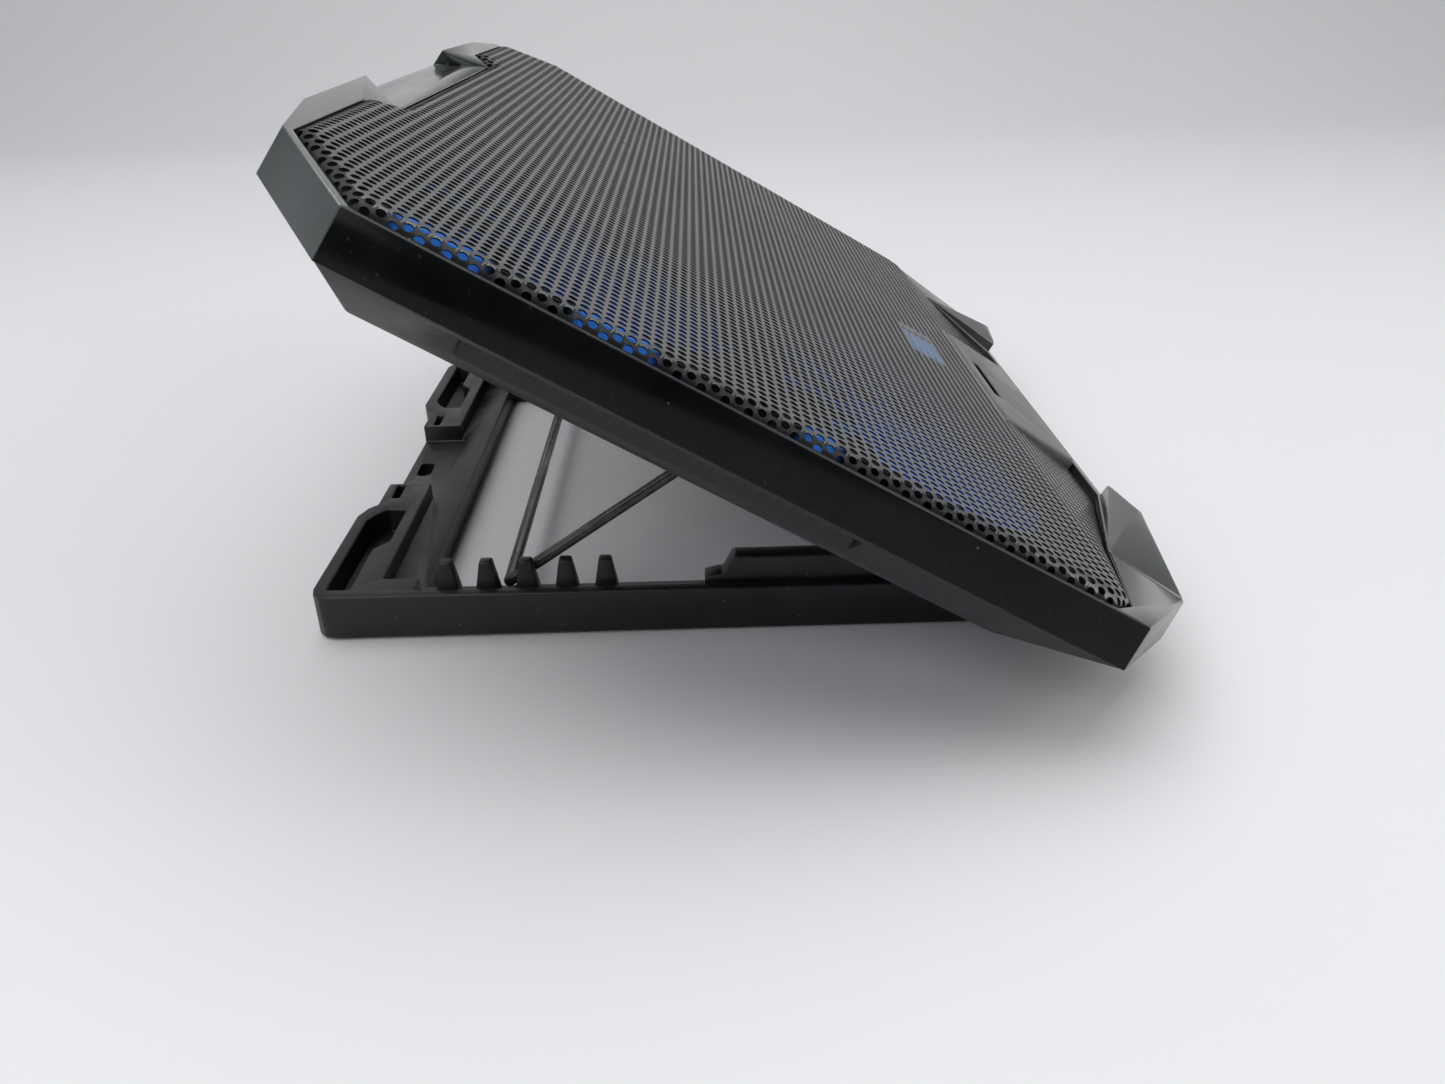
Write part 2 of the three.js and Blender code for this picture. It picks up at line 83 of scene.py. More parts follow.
# ---- materials ---------------------------------------------------------------------------------
def material(name, color, rough, metal=0.0, vary=0.25, grain=900.0, bump=0.06, mottle=35.0, rough_vary=0.12,
             coat=0.0, wear=0.0, scratches=0.0, dust=0.0, specular=0.5, sheen=0.0, alpha=1.0, transmission=0.0, emission=0.0,
             wear_color=None, bump_dist=0.0002):
    m = bpy.data.materials.new(name)
    m.use_nodes = True
    nt = m.node_tree
    nt.nodes.clear()
    N = lambda kind, **kw: _node(nt, kind, kw)
    out = N("ShaderNodeOutputMaterial")
    b = N("ShaderNodeBsdfPrincipled")
    nt.links.new(b.outputs[0], out.inputs[0])
    b.inputs["Metallic"].default_value = metal
    b.inputs["Coat Weight"].default_value = coat
    b.inputs["Coat Roughness"].default_value = 0.12
    b.inputs["Specular IOR Level"].default_value = specular
    b.inputs["Alpha"].default_value = alpha
    b.inputs["Transmission Weight"].default_value = transmission
    co = N("ShaderNodeTexCoord").outputs["Object"]
    big = N("ShaderNodeTexNoise"); nt.links.new(co, big.inputs["Vector"])
    big.inputs["Scale"].default_value = mottle; big.inputs["Detail"].default_value = 4
    fine = N("ShaderNodeTexNoise"); nt.links.new(co, fine.inputs["Vector"])
    fine.inputs["Scale"].default_value = grain; fine.inputs["Detail"].default_value = 3
    lo = [c * (1 - vary) for c in color]; hi = [min(1, c * (1 + vary) + 0.002) for c in color]
    ramp = N("ShaderNodeValToRGB"); nt.links.new(big.outputs["Fac"], ramp.inputs[0])
    ramp.color_ramp.elements[0].position = 0.3; ramp.color_ramp.elements[1].position = 0.72
    ramp.color_ramp.elements[0].color = (*lo, 1); ramp.color_ramp.elements[1].color = (*hi, 1)
    col = ramp.outputs[0]
    rr = N("ShaderNodeMapRange"); nt.links.new(big.outputs["Fac"], rr.inputs[0])
    rr.inputs[1].default_value = 0.3; rr.inputs[2].default_value = 0.75
    rr.inputs[3].default_value = max(0.02, rough - rough_vary); rr.inputs[4].default_value = min(1, rough + rough_vary)
    rsock = rr.outputs[0]

    def over(colour, mask, amount, rough_to=None):
        nonlocal col, rsock
        k = N("ShaderNodeMath", operation="MULTIPLY"); nt.links.new(mask, k.inputs[0]); k.inputs[1].default_value = amount
        mx = N("ShaderNodeMix", data_type="RGBA")
        nt.links.new(k.outputs[0], mx.inputs[0]); nt.links.new(col, mx.inputs[6])
        mx.inputs[7].default_value = (*colour, 1)
        col = mx.outputs[2]
        if rough_to is not None:
            rm = N("ShaderNodeMix", data_type="FLOAT")
            nt.links.new(k.outputs[0], rm.inputs[0]); nt.links.new(rsock, rm.inputs[2]); rm.inputs[3].default_value = rough_to
            rsock = rm.outputs[0]

    if wear > 0:
        geo = N("ShaderNodeNewGeometry")
        bev = N("ShaderNodeBevel", samples=4); bev.inputs["Radius"].default_value = 0.0007
        dot = N("ShaderNodeVectorMath", operation="DOT_PRODUCT")
        nt.links.new(bev.outputs[0], dot.inputs[0]); nt.links.new(geo.outputs["True Normal"], dot.inputs[1])
        e = N("ShaderNodeMapRange"); nt.links.new(dot.outputs["Value"], e.inputs[0])
        e.inputs[1].default_value = 0.995; e.inputs[2].default_value = 0.86; e.inputs[3].default_value = 0; e.inputs[4].default_value = 1
        n2 = N("ShaderNodeTexNoise"); nt.links.new(co, n2.inputs["Vector"]); n2.inputs["Scale"].default_value = 160; n2.inputs["Detail"].default_value = 5
        mr = N("ShaderNodeMapRange"); nt.links.new(n2.outputs["Fac"], mr.inputs[0]); mr.inputs[1].default_value = 0.42; mr.inputs[2].default_value = 0.62
        mul = N("ShaderNodeMath", operation="MULTIPLY"); nt.links.new(e.outputs[0], mul.inputs[0]); nt.links.new(mr.outputs[0], mul.inputs[1])
        over(wear_color or [min(1, c * 3 + 0.05) for c in color], mul.outputs[0], wear)
    if scratches > 0:
        mp = N("ShaderNodeMapping"); nt.links.new(co, mp.inputs[0])
        mp.inputs["Rotation"].default_value = (0.5, 0.3, 0.7); mp.inputs["Scale"].default_value = (18, 900, 420)
        v = N("ShaderNodeTexNoise"); nt.links.new(mp.outputs[0], v.inputs["Vector"]); v.inputs["Scale"].default_value = 1.0; v.inputs["Detail"].default_value = 1
        g = N("ShaderNodeMapRange"); nt.links.new(v.outputs["Fac"], g.inputs[0]); g.inputs[1].default_value = 0.715; g.inputs[2].default_value = 0.76
        over([min(1, c * 4 + 0.09) for c in color], g.outputs[0], scratches, min(1, rough + 0.25))
    if dust > 0:
        v = N("ShaderNodeTexVoronoi"); nt.links.new(co, v.inputs["Vector"]); v.inputs["Scale"].default_value = 210
        g = N("ShaderNodeMapRange"); nt.links.new(v.outputs["Distance"], g.inputs[0]); g.inputs[1].default_value = 0.085; g.inputs[2].default_value = 0.03
        c2 = N("ShaderNodeTexNoise"); nt.links.new(co, c2.inputs["Vector"]); c2.inputs["Scale"].default_value = 70
        g2 = N("ShaderNodeMapRange"); nt.links.new(c2.outputs["Fac"], g2.inputs[0]); g2.inputs[1].default_value = 0.55; g2.inputs[2].default_value = 0.6
        mul = N("ShaderNodeMath", operation="MULTIPLY"); nt.links.new(g.outputs[0], mul.inputs[0]); nt.links.new(g2.outputs[0], mul.inputs[1])
        over((0.42, 0.42, 0.40), mul.outputs[0], dust, 0.9)
    nt.links.new(col, b.inputs["Base Color"])
    nt.links.new(rsock, b.inputs["Roughness"])
    if emission > 0:
        nt.links.new(col, b.inputs["Emission Color"]); b.inputs["Emission Strength"].default_value = emission
    if bump > 0:
        bp = N("ShaderNodeBump"); nt.links.new(fine.outputs["Fac"], bp.inputs["Height"])
        bp.inputs["Strength"].default_value = bump; bp.inputs["Distance"].default_value = bump_dist
        nt.links.new(bp.outputs[0], b.inputs["Normal"])
    return m


def _node(nt, kind, kw):
    n = nt.nodes.new(kind)
    for k, v in kw.items():
        setattr(n, k, v)
    return n


SHELL = material("deck_shell", (0.0060, 0.0072, 0.0082), 0.19, specular=0.5, grain=1400, bump=0.05, wear=0.3, scratches=0.16, dust=0.5, rough_vary=0.05)
# darker copy of the shell for the side faces: painted shade
SIDE_PAINTED_SHADE = material("deck_shell_sides_painted_shade", (0.0035, 0.0040, 0.0046), 0.14, specular=0.14, grain=1400, bump=0.04, wear=0.25, scratches=0.14, dust=0.3, rough_vary=0.05)
# lighter, greenish copy of the shell for the chamfer faces: painted reflection
CHAMFER_PAINTED_REFLECTION = material("deck_shell_chamfers_painted_reflection", (0.026, 0.031, 0.032), 0.24, specular=0.55, grain=1400, bump=0.05, wear=0.3, scratches=0.14, dust=0.5, rough_vary=0.05)
COVER = material("deck_cover", (0.010, 0.0112, 0.0125), 0.44, specular=0.35, grain=1500, bump=0.12, wear=0.3, scratches=0.1, dust=0.35)
BASEM = material("base_plastic", (0.0085, 0.0095, 0.0105), 0.36, specular=0.38, grain=1300, bump=0.14, wear=0.3, scratches=0.08, dust=0.25, rough_vary=0.09)
STOP = material("stopper_plastic", (0.012, 0.013, 0.014), 0.34, specular=0.4, grain=1100, bump=0.1, wear=0.4, scratches=0.1, dust=0.4)
# grey of the mesh's top: painted reflection on the black-coated sheet
MESH = material("mesh_coating_painted_reflection", (0.138, 0.140, 0.141), 0.33, metal=0.6, specular=0.7, grain=1800, bump=0.05, vary=0.18, mottle=22, dust=0.1, wear=0.0, rough_vary=0.06)
# dark copy of the mesh for its rolled edge: painted shade
MESH_EDGE_PAINTED_SHADE = material("mesh_rolled_edge_painted_shade", (0.012, 0.0125, 0.0135), 0.40, specular=0.25, grain=1500, bump=0.06, vary=0.2)
MESH_IN = material("mesh_hole_walls", (0.006, 0.006, 0.007), 0.6, specular=0.25, grain=1800, bump=0.08, vary=0.2)
# grey of the front panel: painted reflection on black satin plastic
PANEL_PAINTED_REFLECTION = material("panel_trim", (0.130, 0.135, 0.130), 0.40, coat=0.0, specular=0.32, grain=1600, bump=0.06, wear=0.3, scratches=0.15)
LENS = material("indicator_window", (0.003, 0.003, 0.004), 0.6, specular=0.0, grain=600, bump=0.02, scratches=0.1)
GLOSS = material("dark_gloss", (0.006, 0.006, 0.008), 0.16, specular=0.4, grain=600, bump=0.02, scratches=0.15, dust=0.4)
# blue badge inlay with a faint painted glow
BADGE_PAINTED_GLOW = material("badge_blue", (0.09, 0.26, 0.60), 0.34, specular=0.3, grain=900, bump=0.03, vary=0.2, emission=0.12)
FANH = material("fan_housing", (0.014, 0.015, 0.018), 0.5, grain=1200, bump=0.12)
# fan blades: blue plastic with a faint painted glow; the front-left copy has a strong painted glow
BLADE = material("fan_blade", (0.03, 0.14, 0.62), 0.24, coat=0.3, emission=0.10, grain=700, bump=0.03, vary=0.2)
BLADE_STRONG_PAINTED_GLOW = material("fan_blade_strong_painted_glow", (0.035, 0.15, 0.66), 0.24, coat=0.3, emission=0.55, grain=700, bump=0.03, vary=0.2)
HUB = material("fan_hub_disc", (0.32, 0.33, 0.34), 0.4, metal=0.6, grain=500, bump=0.1)
RUBBER = material("rubber_foot", (0.02, 0.02, 0.021), 0.82, grain=1800, bump=0.35, dust=0.6)
PCB = material("circuit_board", (0.012, 0.10, 0.045), 0.38, grain=900, bump=0.05, vary=0.3)
STEEL = material("steel_hardware", (0.46, 0.46, 0.47), 0.3, metal=1.0, grain=800, bump=0.1, vary=0.12, scratches=0.2)
BAR = material("prop_bar_coating", (0.018, 0.020, 0.022), 0.33, metal=0.0, coat=0.15, grain=900, bump=0.14, wear=0.4, scratches=0.2, wear_color=(0.25, 0.25, 0.26))
DIAL = material("dial_plastic", (0.016, 0.016, 0.018), 0.55, grain=1000, bump=0.2, wear=0.3)
# rear wings: glossy coated trim coloured grey as a painted reflection of the white surroundings
WINGS_PAINTED_REFLECTION = material("rear_trim_painted_reflection", (0.085, 0.092, 0.090), 0.20, specular=0.9, coat=0.6, grain=700, bump=0.04, vary=0.2, scratches=0.15, dust=0.3)
# lighter copy of the stopper plastic for the stopper facets: painted reflection
FACET_PAINTED_REFLECTION = material("stopper_facets_painted_reflection", (0.036, 0.040, 0.038), 0.20, specular=0.7, grain=900, bump=0.04, vary=0.2, wear=0.25, scratches=0.12, dust=0.3, rough_vary=0.05)
next(n for n in FACET_PAINTED_REFLECTION.node_tree.nodes if n.type == "BSDF_PRINCIPLED").inputs["IOR"].default_value = 2.0
WHITE = material("socket_tongue", (0.75, 0.75, 0.73), 0.4, grain=900, bump=0.06, vary=0.05)
GOLD = material("contact_gold", (0.72, 0.50, 0.16), 0.28, metal=1.0, grain=900, bump=0.05, vary=0.1)
WIRE_R = material("wire_red", (0.42, 0.02, 0.015), 0.4, grain=900, bump=0.1)
WIRE_K = material("wire_black", (0.012, 0.012, 0.013), 0.42, grain=900, bump=0.1)
ICM = material("chip_black", (0.02, 0.02, 0.022), 0.5, grain=900, bump=0.15)


def paint_lamp_light_bands(m, blue=(0.04, 0.20, 0.72), glow=0.35):
    """Painted lamp light on the fan housings: a blue colour and glow painted in bands along the deck's depth, where
    the lamps beside the blades would light them.
    """
    nt = m.node_tree
    b = next(n for n in nt.nodes if n.type == "BSDF_PRINCIPLED")
    old = b.inputs["Base Color"].links[0].from_socket
    co = nt.nodes.new("ShaderNodeTexCoord").outputs["Object"]
    dot = nt.nodes.new("ShaderNodeVectorMath"); dot.operation = "DOT_PRODUCT"
    nt.links.new(co, dot.inputs[0]); dot.inputs[1].default_value = (0, math.cos(TILT), math.sin(TILT))
    # along = Y cos + Z sin; turned into the deck's own depth, from 0 at its front edge to 1 at 300 mm
    k0 = Vector((0, (11.2 + SHIFT) / 1000, 0.0088)).dot(Vector((0, math.cos(TILT), math.sin(TILT))))
    mr = nt.nodes.new("ShaderNodeMapRange"); nt.links.new(dot.outputs["Value"], mr.inputs[0])
    mr.inputs[1].default_value = k0 - 0.0236; mr.inputs[2].default_value = k0 - 0.0236 + 0.3
    r = nt.nodes.new("ShaderNodeValToRGB"); nt.links.new(mr.outputs[0], r.inputs[0])
    r.color_ramp.interpolation = "EASE"
    stops = [(122, 0), (127, 1), (132, 1), (137, 0), (178, 0), (183, 1), (200, 1), (205, 0), (226, 0), (231, 1), (249, 1), (254, 0)]
    els = r.color_ramp.elements
    for i, (y, v) in enumerate(stops):
        e = els[i] if i < 2 else els.new(y / 300)
        e.position = y / 300
        e.color = (v, v, v, 1)
    sx = nt.nodes.new("ShaderNodeSeparateXYZ"); nt.links.new(co, sx.inputs[0])
    ax = nt.nodes.new("ShaderNodeMath"); ax.operation = "ABSOLUTE"; nt.links.new(sx.outputs[0], ax.inputs[0])
    gx = nt.nodes.new("ShaderNodeMapRange"); nt.links.new(ax.outputs[0], gx.inputs[0]); gx.inputs[1].default_value = 0.166; gx.inputs[2].default_value = 0.171
    painted_light_band = nt.nodes.new("ShaderNodeMath"); painted_light_band.operation = "MULTIPLY"; nt.links.new(r.outputs[0], painted_light_band.inputs[0]); nt.links.new(gx.outputs[0], painted_light_band.inputs[1])
    mx = nt.nodes.new("ShaderNodeMix"); mx.data_type = "RGBA"
    nt.links.new(painted_light_band.outputs[0], mx.inputs[0]); nt.links.new(old, mx.inputs[6]); mx.inputs[7].default_value = (*blue, 1)
    nt.links.new(mx.outputs[2], b.inputs["Base Color"])
    em = nt.nodes.new("ShaderNodeMix"); em.data_type = "RGBA"
    nt.links.new(painted_light_band.outputs[0], em.inputs[0]); em.inputs[6].default_value = (0, 0, 0, 1); em.inputs[7].default_value = (*blue, 1)
    nt.links.new(em.outputs[2], b.inputs["Emission Color"]); b.inputs["Emission Strength"].default_value = glow


# painted blue lamp light and glow on the fan housings
paint_lamp_light_bands(FANH)


# ---- mesh helpers ------------------------------------------------------------------------------
def obj_from(name, verts, faces, mats, body, smooth_angle=35):
    me = bpy.data.meshes.new(name)
    me.from_pydata([tuple(v) for v in verts], [], [tuple(f) for f in faces])
    me.validate()
    me.update()
    return finish_obj(name, me, mats, body, smooth_angle)


def finish_obj(name, me, mats, body, smooth_angle=35):
    o = bpy.data.objects.new(name, me)
    bpy.context.scene.collection.objects.link(o)
    for m in mats if isinstance(mats, (list, tuple)) else [mats]:
        me.materials.append(m)
    for p in me.polygons:
        p.use_smooth = True
    if smooth_angle is not None:
        me.set_sharp_from_angle(angle=math.radians(smooth_angle))
    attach(o, body)
    return o


def apply_modifiers(o):
    dg = bpy.context.evaluated_depsgraph_get()
    me = bpy.data.meshes.new_from_object(o.evaluated_get(dg))
    old = o.data
    o.modifiers.clear()
    o.data = me
    bpy.data.meshes.remove(old)
    return o


def measure(me):
    bm = bmesh.new()
    bm.from_mesh(me)
    bmesh.ops.triangulate(bm, faces=bm.faces)
    out = (sum(f.calc_area() for f in bm.faces), bm.calc_volume())
    bm.free()
    return out


def refine(node, mats, width=0.0005, segments=3, angle=28, name=None):
    """A copy of a CAD node with its flat areas merged and its edges rounded, which stands for the node.
    The edges are rounded as far as the shape allows: a try that tears a face or fills a gap is dropped."""
    src = NODES[node]
    bm = bmesh.new()
    bm.from_mesh(src.data)
    bmesh.ops.remove_doubles(bm, verts=bm.verts, dist=2e-6)
    clean = bpy.data.meshes.new("clean")
    bm.to_mesh(clean)
    bm.free()
    area0, vol0 = measure(clean)
    best = None
    for w, dissolve, clamp, merge in ((width, True, False, 1.2e-4), (width, False, False, 2e-6), (width * 0.6, True, False, 1.2e-4), (width * 0.6, False, False, 2e-6), (width, True, True, 2e-6), (width, False, True, 2e-6)):
        if width <= 0:
            break
        bm = bmesh.new()
        bm.from_mesh(clean)
        if dissolve:
            bmesh.ops.dissolve_degenerate(bm, edges=bm.edges, dist=2e-6)
            bmesh.ops.dissolve_limit(bm, angle_limit=math.radians(0.6), verts=bm.verts, edges=bm.edges, use_dissolve_boundaries=False, delimit=set())
            if merge > 1e-5:
                bmesh.ops.remove_doubles(bm, verts=bm.verts, dist=merge)
            bmesh.ops.triangulate(bm, faces=[f for f in bm.faces if len(f.verts) > 4])
        me = bpy.data.meshes.new("try")
        bm.to_mesh(me)
        bm.free()
        t = bpy.data.objects.new("try", me)
        bpy.context.scene.collection.objects.link(t)
        bv = t.modifiers.new("b", "BEVEL")
        bv.width = w; bv.segments = segments; bv.limit_method = "ANGLE"; bv.angle_limit = math.radians(angle)
        bv.use_clamp_overlap = clamp; bv.harden_normals = False; bv.miter_outer = "MITER_ARC"; bv.profile = 0.5
        bpy.context.view_layer.update()
        got = bpy.data.meshes.new_from_object(t.evaluated_get(bpy.context.evaluated_depsgraph_get()))
        bpy.data.objects.remove(t)
        bpy.data.meshes.remove(me)
        a, v = measure(got)
        co = np.zeros(len(got.vertices) * 3); got.vertices.foreach_get("co", co); co = co.reshape(-1, 3)
        lo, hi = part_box(node)
        inside = (co.min(0) >= np.array(lo) - 2e-5).all() and (co.max(0) <= np.array(hi) + 2e-5).all()
        if inside and abs(a - area0) < 0.045 * area0 and abs(v - vol0) < 0.02 * vol0:
            best = got
            print("refine", node, "width", w, "dissolve", dissolve, "clamp", clamp, "area", round(a / area0, 4), "volume", round(v / vol0, 4), len(got.polygons))
            break
        bpy.data.meshes.remove(got)
    if best is None:
        best = clean.copy()
        if width > 0:
            print("refine", node, "kept its plain edges")
    o = bpy.data.objects.new(name or (node + "_visual"), best)
    o.data.name = (name or node) + "_visual"
    bpy.context.scene.collection.objects.link(o)
    me = o.data
    me.materials.clear()
    for m in mats if isinstance(mats, (list, tuple)) else [mats]:
        me.materials.append(m)
    for p in me.polygons:
        p.use_smooth = True
    me.set_sharp_from_angle(angle=math.radians(35))
    body = src["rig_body"]
    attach(o, body)
    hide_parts(node)
    return o


def dress(node, m):
    """A CAD node that stays as it is, with a better material."""
    o = NODES[node]
    o.data.materials.clear()
    o.data.materials.append(m)


# ---- the perforated sheet ----------------------------------------------------------------------
def offset(pts, d):
    n = len(pts)
    out = []
    for i in range(n):
        p, q, r = pts[i], pts[i - 1], pts[(i + 1) % n]
        e1 = (p[0] - q[0], p[1] - q[1]); e2 = (r[0] - p[0], r[1] - p[1])
        l1 = math.hypot(*e1); l2 = math.hypot(*e2)
        n1 = (e1[1] / l1, -e1[0] / l1); n2 = (e2[1] / l2, -e2[0] / l2)
        k = 1 + n1[0] * n2[0] + n1[1] * n2[1]
        out.append((p[0] + d * (n1[0] + n2[0]) / k, p[1] + d * (n1[1] + n2[1]) / k))
    return out


HALF_OPEN = [(86, 2.4), (150, 24.5), (168, 28.5), (191, 33.5), (198.2, 41.5), (198.2, 258.2), (163.3, 282.6), (96, 283.2), (85, 274.4)]
OPENING = HALF_OPEN + [(-x, y) for x, y in reversed(HALF_OPEN)]
SHEET = offset(OPENING, -0.5)
PROFILE = np.array([(0, -3.3), (0, -1.1), (0.18, -0.3), (0.6, 0.45), (1.3, 1.05), (2.3, 1.6), (3.5, 2.08), (5.0, 2.42), (6.6, 2.56)])
SEG = np.hypot(*np.diff(PROFILE, axis=0).T)
ARC = np.concatenate([[0], np.cumsum(SEG)])
A_TOTAL = ARC[-1]
GROW = A_TOTAL - PROFILE[-1, 0]
THICK = 0.45


def profile_at(a):
    h = np.interp(a, ARC, PROFILE[:, 0]); z = np.interp(a, ARC, PROFILE[:, 1])
    e = 0.35
    dh = np.interp(a + e, ARC, PROFILE[:, 0]) - np.interp(np.maximum(a - e, 0), ARC, PROFILE[:, 0])
    dz = np.interp(a + e, ARC, PROFILE[:, 1]) - np.interp(np.maximum(a - e, 0), ARC, PROFILE[:, 1])
    l = np.hypot(dh, dz) + 1e-9
    h = np.where(a > A_TOTAL, a - GROW, h)
    flat = a > A_TOTAL
    return h, z, np.where(flat, 0.0, dz / l), np.where(flat, 1.0, dh / l)  # inward-down normal is (dz, -dh)


def edge_field(p, poly):
    """Signed distance (inside positive) to a polygon and a smooth unit-ish inward direction."""
    P = np.asarray(poly, float); Q = np.roll(P, -1, axis=0)
    d = []; v = []
    for a, b in zip(P, Q):
        ab = b - a; l2 = ab @ ab
        t = np.clip(((p - a) @ ab) / l2, 0, 1)
        near = a + t[:, None] * ab
        w = p - near
        dist = np.hypot(*w.T)
        inward = np.array([-ab[1], ab[0]]) / math.sqrt(l2)
        interior = (t > 0) & (t < 1)
        side = np.where((p - a) @ inward >= 0, 1.0, -1.0)
        vv = np.where(interior[:, None], inward, np.where(dist[:, None] > 1e-6, side[:, None] * w / np.maximum(dist, 1e-6)[:, None], inward))
        d.append(dist); v.append(vv)
    d = np.array(d); v = np.array(v)
    # even-odd inside test
    x, y = p.T
    inside = np.zeros(len(p), bool)
    for a, b in zip(P, Q):
        c = ((a[1] > y) != (b[1] > y)) & (x < (b[0] - a[0]) * (y - a[1]) / (b[1] - a[1] + 1e-12) + a[0])
        inside ^= c
    dmin = d.min(0)
    w = np.exp(-(d - dmin) / 1.2)
    n = (w[:, :, None] * v).sum(0) / w.sum(0)[:, None]
    k = np.einsum("ij,ij->i", n, v[d.argmin(0), np.arange(len(p))])
    n = n / np.maximum(k, 0.5)[:, None]
    return np.where(inside, dmin, -dmin), n


def bend(p):
    """Developed sheet point -> top and bottom points in the deck's frame."""
    a, n = edge_field(p, DEV)
    a = np.maximum(a, 0)
    h, z, dz, dh = profile_at(a)
    shift = h - (a - GROW)
    near = a < A_TOTAL + 1e-6
    xy = p + np.where(near, shift, 0.0)[:, None] * n
    under = xy + (dz * THICK)[:, None] * n
    zt, zb = z.copy(), z - dh * THICK
    # the front margin slopes down towards the front rim
    lim = 2.56 - np.maximum(0, 38 - xy[:, 1]) * 0.14375
    drop = np.where(xy[:, 1] < 38, (2.56 - lim), 0.0)
    k = np.clip((z + 3.3) / 5.86, 0, 1)
    low = np.minimum(z, np.maximum(z - drop * k, -3.3))
    zb = zb + (low - zt)
    zt = low
    top = np.column_stack([xy, zt]); bot = np.column_stack([under, zb])
    return top, bot


DEV = offset(SHEET, GROW)
PX, PY, HOLE_R = 3.7, 3.3, 1.32
NH = 10
CELL = [(1.85, 1.13144), (0, 2.16856), (-1.85, 1.13144), (-1.85, -1.13144), (0, -2.16856), (1.85, -1.13144)]
CUT = (-57.9, 57.9, 37.3)  # where the front panel sits


